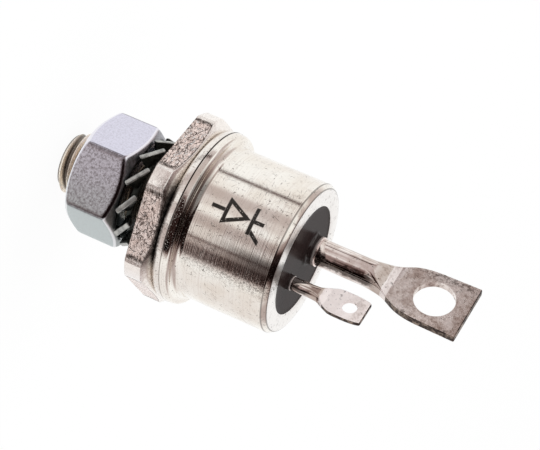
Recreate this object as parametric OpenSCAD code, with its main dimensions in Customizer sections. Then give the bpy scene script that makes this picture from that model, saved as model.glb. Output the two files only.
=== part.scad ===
// Stud-mount thyristor: hex base with threaded stud, welded metal can, glass seal, two coined lugs.
// Frame: Z is the stud axis, Z = 0 is the seat face under the hex, +Z runs towards the lugs.
// The gate lug stands on +X, the cathode lug on -X, and both lugs lie in the XZ plane.

/* [Base and stud] */
// Hex base across flats (mm)
hex_af = 17.35; // [15:0.05:20]
// Diameter the hex corners are turned down to (mm)
hex_corner_d = 19.1; // [17:0.05:22]
// Height of the hex corners above the seat, up to their chamfer (mm)
hex_h = 1.75; // [1.2:0.05:3]
// Turn of the hex about the stud axis, against the lugs (degrees)
hex_turn = -5.5; // [-30:0.5:30]
// Height of the chamfer turned on the hex, from its corners up to the weld ring (mm)
cone_h = 0.65; // [0.4:0.05:1.2]
// Slope of the chamfer turned on the hex (degrees)
cone_a = 30; // [25:1:45]
// Stud diameter over the thread crests (mm)
stud_d = 6.35; // [5:0.05:8]
// Thread pitch (mm)
thread_pitch = 0.907; // [0.7:0.001:1.2]
// Stud length below the seat (mm)
stud_len = 11.6; // [10.8:0.1:16]
// Chamfer on the stud tip (mm)
stud_chamfer = 0.55; // [0.2:0.05:1]
// Length of the thread relief under the seat (mm)
relief_len = 1.2; // [0.6:0.1:2]
// Depth of the thread relief (mm)
relief_depth = 0.45; // [0.2:0.05:0.8]

/* [Can] */
// Outside diameter of the can (mm)
can_d = 15.2; // [14:0.05:16]
// Height of the rim face above the seat (mm)
rim_z = 13.9; // [12:0.1:18]
// Wall of the can (mm)
can_wall = 0.75; // [0.4:0.05:1.2]
// Radial width of the bevel round the rim (mm)
bevel_w = 0.34; // [0.1:0.02:0.6]
// Height of the bevel round the rim (mm)
bevel_h = 0.48; // [0.1:0.02:0.8]
// How far the weld ring and the can's flange stand out past the hex flats (mm)
flange_proud = 0.075; // [0:0.025:0.3]
// Height of the weld line above the seat (mm)
weld_z = 3.3; // [2.9:0.05:4.5]
// Thickness of the can's flange (mm)
flange_t = 0.85; // [0.5:0.05:1.2]
// Rounding of the flange and weld ring edges (mm)
flange_round = 0.3; // [0.1:0.02:0.4]
// Fillet between flange and can wall (mm)
can_fillet = 0.65; // [0.3:0.05:0.8]
// Inside diameter of the weld ring (mm)
weld_ring_in_d = 12.2; // [11:0.1:13]

/* [Glass seal] */
// Diameter of the glass (mm)
glass_d = 11; // [10:0.05:12]
// Thickness of the glass (mm)
glass_t = 2.2; // [1.6:0.1:3]
// Rise of the glass round the cathode pin (mm)
cathode_rise = 1.05; // [0.4:0.05:1.4]
// Rise of the glass round the gate pin (mm)
gate_rise = 0.5; // [0.2:0.05:0.8]

/* [Cathode lug] */
// Cathode pin diameter (mm)
cathode_d = 2.7; // [2.3:0.05:3]
// Distance of the cathode pin from the axis (mm)
cathode_off = 1.65; // [1.5:0.05:1.9]
// Height of the cathode lug's tip above the seat (mm)
cathode_tip_z = 30.2; // [28:0.1:34]
// Length of the flat cathode lug (mm)
cathode_lug_len = 9.2; // [8.6:0.1:11]
// Width of the cathode lug at its tip (mm)
cathode_lug_w = 6.2; // [5.6:0.1:7]
// Thickness of the cathode lug (mm)
cathode_lug_t = 0.8; // [0.5:0.05:1.1]
// Diameter of the cathode eye (mm)
cathode_eye_d = 4; // [3:0.05:4.3]
// Distance of the cathode eye's centre from the tip (mm)
cathode_eye_in = 3.45; // [3:0.05:3.8]

/* [Gate lug] */
// Gate pin diameter (mm)
gate_d = 1.35; // [1:0.05:1.6]
// Distance of the gate pin from the axis (mm)
gate_off = 2.85; // [2.7:0.05:3.1]
// Height of the gate lug's tip above the seat (mm)
gate_tip_z = 21.9; // [20:0.1:24]
// Length of the flat gate lug (mm)
gate_lug_len = 4.9; // [4.5:0.1:6]
// Greatest width of the gate lug (mm)
gate_lug_w = 3.02; // [2.6:0.02:3.4]
// Thickness of the gate lug (mm)
gate_lug_t = 0.45; // [0.3:0.05:0.7]
// Diameter of the gate eye (mm)
gate_eye_d = 1.5; // [1:0.05:1.8]
// Distance of the gate eye's centre from the tip (mm)
gate_eye_in = 1.65; // [1.4:0.05:1.9]

/* [Nut and lock washer] */
// Nut across flats (mm)
nut_af = 10.95; // [10:0.05:12]
// Nut thickness (mm)
nut_t = 5.55; // [4:0.05:6]
// Distance of the nut from the seat (mm)
nut_gap = 3.6; // [2.8:0.1:4.5]
// Turn of the nut about the stud axis (degrees)
nut_turn = -15.6; // [-30:0.2:30]
// Diameter of the flat left inside the nut's chamfers (mm)
nut_face_d = 10.4; // [9:0.05:10.8]
// Slope of the nut's chamfers (degrees)
nut_chamfer_a = 30; // [15:1:45]
// Depth of the countersink at each end of the nut's bore (mm)
nut_countersink = 0.45; // [0.2:0.05:0.8]
// Outside diameter of the lock washer (mm)
washer_d = 11.1; // [10:0.1:12]
// Hole diameter of the lock washer (mm)
washer_hole_d = 6.6; // [6.45:0.05:7]
// Thickness of the lock washer's sheet (mm)
washer_t = 0.6; // [0.4:0.05:0.9]
// Outside diameter of the lock washer's ring, where the teeth start (mm)
washer_ring_d = 8.6; // [8:0.1:9]
// Number of teeth on the lock washer
washer_teeth = 12; // [10:1:15]
// Turn of the lock washer about the stud axis (degrees)
washer_turn = 24; // [0:0.5:36]
// Twist of each tooth (degrees)
tooth_twist = 35; // [15:1:40]
// Length of each tooth's outer edge (mm)
tooth_w = 2.75; // [1.6:0.05:2.85]
// Width of each tooth at the ring (mm)
tooth_root_w = 1.5; // [1:0.05:1.8]

/* [Inside the can] */
// Diameter of the raised pedestal inside the can (mm)
pedestal_d = 11; // [9:0.1:12]
// Height of the pedestal above the seat (mm)
pedestal_z = 4.4; // [3.6:0.1:5.5]
// Thickness of each solder layer (mm)
solder_t = 0.1; // [0.05:0.01:0.2]
// Diameter of the anode disc (mm)
anode_d = 9; // [8:0.1:10]
// Thickness of the anode disc (mm)
anode_t = 0.8; // [0.4:0.05:1.2]
// Margin of the anode disc round the silicon pellet (mm)
pellet_margin = 0.3; // [0.2:0.02:0.5]
// Thickness of the silicon pellet (mm)
pellet_t = 0.4; // [0.2:0.02:0.6]
// Radial width of the pellet's bevelled edge (mm)
pellet_bevel = 0.3; // [0.1:0.05:0.5]
// Diameter of the cathode disc (mm)
cathode_disc_d = 4; // [3.2:0.1:4.2]
// Thickness of the cathode disc (mm)
cathode_disc_t = 0.5; // [0.3:0.05:0.8]
// Width of the flexible cathode lead (mm)
cathode_lead_w = 1.8; // [1:0.05:2.2]
// Thickness of the flexible cathode lead (mm)
cathode_lead_t = 0.5; // [0.3:0.05:0.8]
// Width of the gate lead (mm)
gate_lead_w = 0.6; // [0.3:0.05:0.9]
// Thickness of the gate lead (mm)
gate_lead_t = 0.2; // [0.1:0.05:0.4]
// Sideways bow of both leads, which takes up heat movement (mm)
lead_bow = 0.9; // [0.5:0.05:1.2]
// How far each pin stands out below the glass (mm)
pin_tail = 1; // [0.6:0.1:1.6]

/* [Hidden] */
$fn = 96;
eps = 0.01;
half = 0.5;
sides = 6;
corner_ratio = 2 / sqrt(3);

can_r = can_d / 2;
can_in_r = can_r - can_wall;
flange_r = hex_af / 2 + flange_proud;
cone_d = hex_corner_d - 2 * cone_h / tan(cone_a);
cone_top_z = hex_h + cone_h;
stud_r = stud_d / 2;
flange_top_z = weld_z + flange_t;
glass_bottom_z = rim_z - glass_t;
pin_end_z = glass_bottom_z - pin_tail;
arc_steps = 8;
strap_steps = 24;

nut_near_z = -nut_gap;
nut_far_z = -nut_gap - nut_t;
nut_corner_r = nut_af / 2 * corner_ratio;
nut_face_r = nut_face_d / 2;
nut_chamfer_h = (nut_corner_r + eps - nut_face_r) * tan(nut_chamfer_a);
// Stud and nut meet at the thread's pitch line, which runs out a little past the nut.
pitch_line = 0.325;
nut_bore_r = stud_r - pitch_line * thread_pitch;
runout_z = nut_far_z - thread_pitch / 3;

washer_r = washer_d / 2;
washer_ring_r = washer_ring_d / 2;
tooth_root_r = washer_ring_r - washer_t * half;
// The teeth bear on the edge of the nut's flat face.
bear_r = sqrt(nut_face_r * nut_face_r - pow(tooth_w / 2 * cos(tooth_twist), 2));
bear_w = tooth_root_w + (tooth_w - tooth_root_w) * (bear_r - tooth_root_r) / (washer_r - tooth_root_r);
bear_h = bear_w / 2 * sin(tooth_twist) + washer_t / 2 * cos(tooth_twist);
washer_mid_z = nut_near_z + bear_h + eps;

// Outline of each lug as [half width, length] fractions, in cubic curves from neck to tip.
cathode_curves = [
    [[0.475, 0.09], [0.6, 0.15], [0.774, 0.261]],
    [[0.9, 0.342], [0.97, 0.46], [0.975, 0.62]],
    [[0.983, 0.75], [0.992, 0.87], [1, 1]]];
gate_curves = [
    [[0.5, 0.06], [0.72, 0.15], [0.91, 0.286]],
    [[1, 0.35], [1, 0.45], [1, 0.58]],
    [[1, 0.78], [0.95, 0.9], [0.84, 1]]];
// Where the pressed neck starts below the lug and ends above its foot, as fractions of the lug's length.
cathode_neck = [0.055, 0.2];
gate_neck = [0.08, 0.17];
// A lug's foot is spread a little past the round pin.
lug_spread = 1.06;
// Foot and lip of the glass round a pin, as fractions of its rise.
rise_foot = 0.55;
rise_lip = 0.12;
// The weld ring's lower edge is rounded over this angle, and stands on the base inside that rounding.
ring_round_a = 60;
ring_seat_r = min(cone_d / 2, flange_r - flange_round);

anode_z = pedestal_z + solder_t;
pellet_solder_z = anode_z + anode_t;
pellet_z = pellet_solder_z + solder_t;
pellet_top_z = pellet_z + pellet_t;
cathode_disc_z = pellet_top_z + solder_t;
cathode_disc_top_z = cathode_disc_z + cathode_disc_t;
pellet_d = anode_d - 2 * pellet_margin;
coating_r = pellet_d / 2 + pellet_margin * half;

// Points of a quarter arc of radius r about (cx, cy), from angle a to angle b.
function arc(cx, cy, r, a, b) =
    [for (i = [0:arc_steps]) let (t = a + (b - a) * i / arc_steps) [cx + r * cos(t), cy + r * sin(t)]];

// Half outline of a lug, mirrored about its centre line: rows of [half width, height].
function both_sides(rows) = concat(rows, [for (i = [len(rows) - 1:-1:0]) [-rows[i][0], rows[i][1]]]);

// Cubic curve from p to q with controls c and d, without its start point.
function curve(p, c, d, q) =
    [for (i = [1:arc_steps]) let (t = i / arc_steps, u = 1 - t)
        u * u * u * p + 3 * u * u * t * c + 3 * u * t * t * d + t * t * t * q];

// Side of a lug from its foot to its tip, as [half width, height] rows.
function lug_side(start, curves, w, z, len) = let (scaled = [for (k = curves)
        [for (f = k) [f[0] * w, z + f[1] * len]]])
    [for (k = [0:len(curves) - 1])
        for (row = curve(k == 0 ? start : scaled[k - 1][2], scaled[k][0], scaled[k][1], scaled[k][2])) row];

// Hexagonal prism with flats facing -Y before it is turned.
module hex_prism(af, z0, h, turn) {
    translate([0, 0, z0]) rotate([0, 0, turn])
        cylinder(d = af * corner_ratio, h = h, $fn = sides);
}

// Flat sheet in the XZ plane, drawn as [x, z] points, centred on Y = 0.
module sheet(points, t) {
    rotate([90, 0, 0]) translate([0, 0, -t / 2]) linear_extrude(height = t) polygon(points);
}

// Hole along Y through a sheet in the XZ plane.
module eye(x, z, d, t) {
    translate([x, t, z]) rotate([90, 0, 0]) cylinder(d = d, h = 2 * t);
}

// Round pin pressed to a wedge: full diameter at z0, thinned to t at z1.
module pressed_neck(d, t, z0, z1) {
    intersection() {
        translate([0, 0, z0]) cylinder(d = d, h = z1 - z0);
        rotate([90, 0, 90]) translate([0, 0, -d]) linear_extrude(height = 2 * d)
            polygon([[-d / 2, z0], [d / 2, z0], [t / 2, z1], [-t / 2, z1]]);
    }
}

// Flat strap in the YZ plane from z0 up to z1, bowed towards +Y, with level ends.
module bowed_strap(w, t, z0, z1, bow) {
    h = z1 - z0;
    side = function (sign) [for (i = [0:strap_steps])
        let (u = 360 * i / strap_steps, slope = bow * PI / h * sin(u), n = sqrt(1 + slope * slope))
            [bow * (1 - cos(u)) / 2 + sign * t / 2 / n,
                z0 + h * i / strap_steps - sign * t / 2 * slope / n]];
    right = side(1);
    left = side(-1);
    rotate([90, 0, 90]) translate([0, 0, -w / 2]) linear_extrude(height = w)
        polygon(concat(right, [for (i = [strap_steps:-1:0]) left[i]]));
}

// Upright cylinder of diameter d from z up.
module cylinder_at(d, z, h) {
    translate([0, 0, z]) cylinder(d = d, h = h);
}

// Copper base, one turned piece: hex with a chamfer that its flats end on, pedestal, stud with thread relief.
module stud_base() {
    relief_r = stud_r - relief_depth;
    color([0.72, 0.7, 0.68]) union() {
        intersection() {
            hex_prism(hex_af, 0, cone_top_z, hex_turn);
            rotate_extrude() polygon([
                [0, 0], [hex_corner_d / 2, 0], [hex_corner_d / 2, hex_h], [cone_d / 2, cone_top_z],
                [0, cone_top_z]]);
        }
        cylinder(d = pedestal_d, h = pedestal_z);
        rotate_extrude() polygon([
            [0, eps], [relief_r, eps], [relief_r, -relief_len],
            [stud_r, -relief_len - relief_depth], [stud_r, nut_near_z], [nut_bore_r, nut_near_z],
            [nut_bore_r, runout_z], [stud_r, runout_z], [stud_r, -stud_len + stud_chamfer],
            [stud_r - stud_chamfer, -stud_len], [0, -stud_len]]);
    }
}

// Steel ring brazed on the base: the can's flange is welded to its top face.
module weld_ring() {
    color([0.78, 0.76, 0.73]) rotate_extrude() polygon(concat(
        [[weld_ring_in_d / 2, cone_top_z], [ring_seat_r, cone_top_z]],
        arc(flange_r - flange_round, cone_top_z + flange_round, flange_round, -ring_round_a, 0),
        [[flange_r, weld_z - flange_round / 2], [flange_r - flange_round / 2, weld_z],
            [weld_ring_in_d / 2, weld_z]]));
}

// Drawn can with welding flange below and a heavy collar round the glass above.
module case_shell() {
    outer = concat(
        [[flange_r - flange_round / 2, weld_z], [flange_r, weld_z + flange_round / 2]],
        arc(flange_r - flange_round, flange_top_z - flange_round, flange_round, 0, 90),
        arc(can_r + can_fillet, flange_top_z + can_fillet, can_fillet, 270, 180),
        [[can_r, rim_z - bevel_h], [can_r - bevel_w, rim_z]]);
    inner = [[glass_d / 2, rim_z], [glass_d / 2, glass_bottom_z], [can_in_r, glass_bottom_z],
        [can_in_r, weld_z]];
    color([0.82, 0.79, 0.75]) rotate_extrude() polygon(concat(outer, inner));
}

// Raised collar of glass round one pin.
module glass_rise(x, pin_d, rise) {
    foot = pin_d / 2 + rise * rise_foot;
    lip = pin_d / 2 + rise * rise_lip;
    rows = curve([foot, 0], [lip, 0], [lip, rise * rise_lip], [lip, rise]);
    translate([x, 0, rim_z]) rotate_extrude()
        polygon(concat([[0, -eps], [foot, -eps], [foot, 0]], rows, [[0, rise]]));
}

// Dark glass that seals both pins into the can's collar.
module glass_seal() {
    color([0.22, 0.21, 0.22]) difference() {
        union() {
            cylinder_at(glass_d, glass_bottom_z, glass_t);
            glass_rise(-cathode_off, cathode_d, cathode_rise);
            glass_rise(gate_off, gate_d, gate_rise);
        }
        translate([-cathode_off, 0, glass_bottom_z - eps]) cylinder(d = cathode_d, h = rim_z);
        translate([gate_off, 0, glass_bottom_z - eps]) cylinder(d = gate_d, h = rim_z);
    }
}

// Solid pin, round where it is sealed, coined flat and pierced at its end.
module coined_pin(d, tip_z, lug_len, w, t, curves, neck, eye_d, eye_in) {
    foot_z = tip_z - lug_len;
    neck_z0 = foot_z - neck[0] * lug_len;
    neck_z1 = foot_z + neck[1] * lug_len;
    start = [d / 2 * lug_spread, foot_z];
    rows = concat([[t / 2, neck_z0], start], lug_side(start, curves, w / 2, foot_z, lug_len));
    difference() {
        union() {
            cylinder_at(d, pin_end_z, neck_z0 - pin_end_z);
            pressed_neck(d, t, neck_z0, neck_z1);
            sheet(both_sides(rows), t);
        }
        eye(0, tip_z - eye_in, eye_d, t);
    }
}

// Cathode pin with its fan-shaped lug.
module cathode_terminal() {
    color([0.85, 0.83, 0.8]) translate([-cathode_off, 0, 0])
        coined_pin(cathode_d, cathode_tip_z, cathode_lug_len, cathode_lug_w, cathode_lug_t,
            cathode_curves, cathode_neck, cathode_eye_d, cathode_eye_in);
}

// Gate pin with its rounded paddle.
module gate_terminal() {
    color([0.85, 0.83, 0.8]) translate([gate_off, 0, 0])
        coined_pin(gate_d, gate_tip_z, gate_lug_len, gate_lug_w, gate_lug_t,
            gate_curves, gate_neck, gate_eye_d, gate_eye_in);
}

// Hex nut, chamfered on both ends, bore taken at the thread's pitch line.
module hex_nut() {
    color([0.75, 0.76, 0.8]) difference() {
        intersection() {
            hex_prism(nut_af, nut_far_z, nut_t, nut_turn);
            rotate_extrude() polygon([
                [0, nut_far_z], [nut_face_r, nut_far_z],
                [nut_corner_r + eps, nut_far_z + nut_chamfer_h],
                [nut_corner_r + eps, nut_near_z - nut_chamfer_h],
                [nut_face_r, nut_near_z], [0, nut_near_z]]);
        }
        cylinder_at(2 * nut_bore_r, nut_far_z - eps, nut_t + 2 * eps);
        for (end = [0, 1])
            translate([0, 0, end == 0 ? nut_far_z : nut_near_z]) mirror([0, 0, end])
                translate([0, 0, -eps])
                    cylinder(r1 = nut_bore_r + nut_countersink + eps, r2 = nut_bore_r,
                        h = nut_countersink + eps);
    }
}

// One tooth of the lock washer: a plate that widens outwards, twisted about its own radius.
module washer_tooth() {
    rotate([-tooth_twist, 0, 0]) translate([0, 0, -washer_t / 2]) linear_extrude(height = washer_t)
        polygon([[tooth_root_r, -tooth_root_w / 2], [washer_r, -tooth_w / 2],
            [washer_r, tooth_w / 2], [tooth_root_r, tooth_root_w / 2]]);
}

// External-tooth lock washer: a flat ring with twisted teeth that bear on the nut.
module lock_washer() {
    color([0.1, 0.11, 0.1]) translate([0, 0, washer_mid_z]) {
        difference() {
            cylinder_at(washer_ring_d, -washer_t / 2, washer_t);
            cylinder_at(washer_hole_d, -washer_t, 2 * washer_t);
        }
        for (i = [0:washer_teeth - 1]) rotate([0, 0, washer_turn + i * 360 / washer_teeth]) washer_tooth();
    }
}

// Solder under the anode disc.
module anode_solder() {
    color([0.6, 0.6, 0.62]) cylinder_at(anode_d, pedestal_z, solder_t);
}

// Molybdenum disc that carries the pellet on the copper pedestal.
module anode_disc() {
    color([0.5, 0.5, 0.52]) cylinder_at(anode_d, anode_z, anode_t);
}

// Solder under the silicon pellet.
module pellet_solder() {
    color([0.6, 0.6, 0.62]) cylinder_at(pellet_d, pellet_solder_z, solder_t);
}

// Silicon pellet with a bevelled edge.
module silicon_pellet() {
    color([0.25, 0.27, 0.32]) translate([0, 0, pellet_z])
        cylinder(d1 = pellet_d, d2 = pellet_d - 2 * pellet_bevel, h = pellet_t);
}

// Insulating varnish laid over the pellet's bevelled edge.
module edge_coating() {
    color([0.75, 0.35, 0.25]) rotate_extrude() polygon([
        [pellet_d / 2, pellet_solder_z], [coating_r, pellet_solder_z],
        [coating_r, pellet_top_z - pellet_t * half], [pellet_d / 2 - pellet_bevel, pellet_top_z],
        [pellet_d / 2, pellet_z]]);
}

// Solder between the pellet and the cathode disc.
module cathode_solder() {
    color([0.6, 0.6, 0.62]) translate([-cathode_off, 0, 0])
        cylinder_at(cathode_disc_d, pellet_top_z, solder_t);
}

// Contact disc on the pellet's cathode side.
module cathode_disc() {
    color([0.55, 0.55, 0.57]) translate([-cathode_off, 0, 0])
        cylinder_at(cathode_disc_d, cathode_disc_z, cathode_disc_t);
}

// Flexible copper lead from the cathode disc to the cathode pin.
module cathode_lead() {
    color([0.8, 0.5, 0.35]) translate([-cathode_off, 0, 0])
        bowed_strap(cathode_lead_w, cathode_lead_t, cathode_disc_top_z, pin_end_z, lead_bow);
}

// Gate lead from the pellet's gate contact to the gate pin.
module gate_lead() {
    color([0.8, 0.6, 0.4]) translate([gate_off, 0, 0])
        bowed_strap(gate_lead_w, gate_lead_t, pellet_top_z, pin_end_z, lead_bow);
}

stud_base();
weld_ring();
case_shell();
glass_seal();
cathode_terminal();
gate_terminal();
hex_nut();
lock_washer();
anode_solder();
anode_disc();
pellet_solder();
silicon_pellet();
edge_coating();
cathode_solder();
cathode_disc();
cathode_lead();
gate_lead();
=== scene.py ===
"""Stud-mount thyristor: rolled thread, broken edges, plated finishes and a studio round the solids."""
import math

import bmesh
import bpy
from mathutils import Matrix, Vector


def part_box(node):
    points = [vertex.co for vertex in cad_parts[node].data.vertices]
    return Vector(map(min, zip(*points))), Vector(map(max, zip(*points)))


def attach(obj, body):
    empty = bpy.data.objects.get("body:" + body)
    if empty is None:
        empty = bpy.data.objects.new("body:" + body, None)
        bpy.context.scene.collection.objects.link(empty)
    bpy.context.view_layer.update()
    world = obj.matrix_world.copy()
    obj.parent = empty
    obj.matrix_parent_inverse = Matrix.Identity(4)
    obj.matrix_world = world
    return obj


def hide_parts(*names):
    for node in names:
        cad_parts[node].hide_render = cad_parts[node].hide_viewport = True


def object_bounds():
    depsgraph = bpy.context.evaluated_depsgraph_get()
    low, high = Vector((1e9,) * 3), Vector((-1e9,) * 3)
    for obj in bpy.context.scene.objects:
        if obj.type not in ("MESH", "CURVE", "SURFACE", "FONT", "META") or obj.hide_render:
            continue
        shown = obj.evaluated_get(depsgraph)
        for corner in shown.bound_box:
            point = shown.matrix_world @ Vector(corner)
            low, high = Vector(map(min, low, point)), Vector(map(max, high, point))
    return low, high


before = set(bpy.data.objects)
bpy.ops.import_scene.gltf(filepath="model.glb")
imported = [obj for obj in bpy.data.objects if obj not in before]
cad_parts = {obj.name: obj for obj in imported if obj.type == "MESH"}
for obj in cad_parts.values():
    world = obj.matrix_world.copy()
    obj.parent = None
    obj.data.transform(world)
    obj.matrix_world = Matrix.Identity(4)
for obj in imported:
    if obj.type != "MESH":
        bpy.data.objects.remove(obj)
cad_low, cad_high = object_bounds()

MM = 0.001
BODY = "root"
SIDES = 6
LATHE_STEPS = 192
RING_STEPS = 96
TOUCH = 1e-3

# Base; lengths are in millimetres and are the solids' own
HEX_AF = 17.35
HEX_CORNER_R = 9.55
HEX_H = 1.75
HEX_TURN = -5.5
CONE_H = 0.65
CONE_SLOPE = math.radians(30)
CONE_TOP_Z = HEX_H + CONE_H
CONE_TOP_R = HEX_CORNER_R - CONE_H / math.tan(CONE_SLOPE)
PEDESTAL_R = 5.5
PEDESTAL_Z = 4.4
STUD_R = 3.175
STUD_LEN = 11.6
TIP_CHAMFER = 0.55
PITCH = 0.907
THREAD_DEPTH = 0.54
THREAD_STEPS = 72
CREST_ROUND = 0.04
RELIEF_LEN = 1.2
RELIEF_DEPTH = 0.45
DISC_LAP = 0.1

# Weld ring, can and glass
CAN_R = 7.6
CAN_WALL = 0.75
RIM_Z = 13.9
BEVEL_W = 0.34
BEVEL_H = 0.48
FLANGE_PROUD = 0.075
FLANGE_R = HEX_AF / 2 + FLANGE_PROUD
FLANGE_T = 0.85
FLANGE_ROUND = 0.3
FLANGE_LEAN = 0.15
CAN_FILLET = 0.65
WELD_Z = 3.3
WELD_GAP = 0.06
RING_IN_R = 6.1
FLANGE_TOP_Z = WELD_Z + FLANGE_T
GLASS_R = 5.5
GLASS_T = 2.2
GLASS_SINK = 0.06
GLASS_EDGE_W = 0.3
GLASS_EDGE_ROUND = 0.2
GLASS_BOTTOM_Z = RIM_Z - GLASS_T
COLLAR_FOOT = 0.55
COLLAR_LIP = 0.12
COLLAR_LAP = 0.03
COLLAR_STEPS = 14

# Nut and lock washer
NUT_AF = 10.95
NUT_CORNER_R = NUT_AF / math.sqrt(3)
NUT_T = 5.55
NUT_GAP = 3.6
NUT_TURN = -15.6
NUT_FACE_R = 5.2
NUT_SLOPE = math.radians(30)
NUT_COUNTERSINK = 0.5
NUT_PLAY = 0.02
NUT_ROWS = 30
NUT_ROW_EASE = 1.7
NUT_EDGE_POWER = 48
NUT_CHAMFER_POWER = 32
NUT_RIM_ANGLE = math.radians(20)
NUT_RIM_W = 0.1
WASHER_R = 5.55
WASHER_HOLE_R = 3.3
WASHER_RING_R = 4.3
WASHER_T = 0.6
WASHER_TEETH = 12
WASHER_TURN = math.radians(24)
TOOTH_ROOT_R = 4.0
TOOTH_ROOT_W = 1.5
TOOTH_W = 2.75
TOOTH_TWIST = math.radians(35)
TOOTH_ROOT_TWIST = math.radians(9)
TOOTH_SLICES = 8
TOOTH_STRAIGHT = 0.65
TOOTH_ROUND = 0.2
TIP_STEPS = 5
WORN_SHARE = 0.5

# Lugs: outline points are shares of half the width and of the length; press gives, by share of the length,
# how much of the round pin is left
CATHODE = {
    "x": -1.65, "pin_r": 1.35, "rise": 1.05, "tip": 30.2, "length": 9.2, "width": 6.2, "thick": 0.8,
    "eye_r": 2.0, "eye_in": 3.45, "foot_w": 2.86,
    "outline": [[(0.475, 0.09), (0.6, 0.15), (0.774, 0.261)], [(0.9, 0.342), (0.97, 0.46), (0.975, 0.62)],
                [(0.983, 0.75), (0.992, 0.87), (1, 1)]],
    "press": [(-0.126, 1.0), (-0.06, 0.96), (-0.006, 0.76), (0.06, 0.42), (0.108, 0.19), (0.178, 0.0)],
}
GATE = {
    "x": 2.85, "pin_r": 0.675, "rise": 0.5, "tip": 21.9, "length": 4.9, "width": 3.02, "thick": 0.45,
    "eye_r": 0.75, "eye_in": 1.65, "foot_w": 1.43,
    "outline": [[(0.5, 0.06), (0.72, 0.15), (0.91, 0.286)], [(1, 0.35), (1, 0.45), (1, 0.58)],
                [(1, 0.78), (0.95, 0.9), (0.84, 1)]],
    "press": [(-0.16, 1.0), (-0.06, 0.96), (0.03, 0.75), (0.1, 0.4), (0.2, 0.0)],
}
PIN_TAIL = 1.0
PIN_END_Z = GLASS_BOTTOM_Z - PIN_TAIL
PRESS_ROUND = 0.8
OUTLINE_STEPS = 10
CORNER_STEPS = 12
EDGE_R = 0.07
EYE_STEPS = 72
EYE_EDGE = 0.042
EYE_EDGE_ANGLE = math.radians(60)
LUG_CREASE = 20
SHEARED_SHARE = 0.82
SHEARED_LEAN = 0.8
EYE_CLEAR = 0.15

# Broken edges
SEAT_BREAK = 0.14
CONE_BREAK = 0.1
FLAT_BREAK = 0.08
PEDESTAL_BREAK = 0.15
BEVEL_BREAK = 0.08
RIM_BREAK = 0.07
MOUTH_BREAK = 0.05
THIN_BREAK = 0.06

# Mark on the can, and the lean of its triangle's sides and of its gate lead
MARK_ARC = math.radians(-66) * CAN_R
MARK_Z = 8.6
MARK_SIZE = 2.7
MARK_PEN = 0.38
MARK_BLUR = 0.04
SIDE_LEAN = 0.5
GATE_LEAD_AT = 0.75
GATE_LEAD_LEAN = 0.7
GATE_LEAD_REACH = 0.4

# Where stains, painted shade and a painted reflection lie, in degrees round the axis or the pin: start, full,
# fade, end
SHADED_FRONT = (-76, -56, -22, -2)
CLEAN_FLAT = (-5, 2, 54, 60)
DARK_FILLET = (-92, -72, -40, -22)
CAN_PAINTED_SHADE = (-48, -42, -36, -28)
CAN_PEPPER = (-46, -34, -24, -11)
PIN_DARK_REFLECTION = (-46, -36, -6, 8)

# Heights over which stains and the painted shade on the can set in
TARNISH_RISE = (8.0, 13.0)
PAINTED_SHADE_RISE = (6.0, 12.6)
PEPPER_RISE = (5.0, 12.0)

# Places on the lugs: between the pins, the start of the cathode's flat, and how much lower the gate's starts
BETWEEN_PINS = (0.6, 1.0)
FLAT_START_Z = 21.9
GATE_FLAT_DROP = 4.65
FAR_EDGE = (-3.3, -4.5)

# Turn and length of each family of hair scratches
HAIR_WAYS = ((0.5, 0.7), (-0.6, 0.9), (1.2, 0.6), (-1.35, 0.8), (0.1, 0.9))


class Value:
    """A node's output socket. Arithmetic on it adds Math nodes to the same finish."""

    def __init__(self, finish, socket):
        self.finish = finish
        self.socket = socket

    def math(self, operation, *terms):
        return self.finish.node("ShaderNodeMath", {"operation": operation}, dict(enumerate(terms)))

    def __add__(self, other):
        return self.math("ADD", self, other)

    def __sub__(self, other):
        return self.math("SUBTRACT", self, other)

    def __rsub__(self, other):
        return self.math("SUBTRACT", other, self)

    def __mul__(self, other):
        return self.math("MULTIPLY", self, other)

    def __truediv__(self, other):
        return self.math("DIVIDE", self, other)

    def __pow__(self, other):
        return self.math("POWER", self, other)

    def __abs__(self):
        return self.math("ABSOLUTE", self)

    __radd__ = __add__
    __rmul__ = __mul__

    def most(self, other):
        return self.math("MAXIMUM", self, other)

    def length(self, other):
        """Length of the line with these two sides."""
        squared = self * self + other * other
        return squared.math("SQRT", squared)

    def angle(self, other):
        """Degrees of the direction whose sine side is this value and whose cosine side is the other."""
        return self.math("ARCTAN2", self, other) * math.degrees(1)

    def step(self, low, high):
        """0 at low, 1 at high, eased between; low may be the larger one."""
        settings = {"interpolation_type": "SMOOTHSTEP"}
        sockets = {"Value": self, "From Min": low, "From Max": high}
        return self.finish.node("ShaderNodeMapRange", settings, sockets)

    def band(self, start, full, fade, end):
        """Rises from start to full and falls again from fade to end."""
        return self.step(start, full) * self.step(end, fade)

    def near(self, place, full, end):
        """1 within full of a place, 0 from end on."""
        return abs(self - place).step(end, full)


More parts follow.
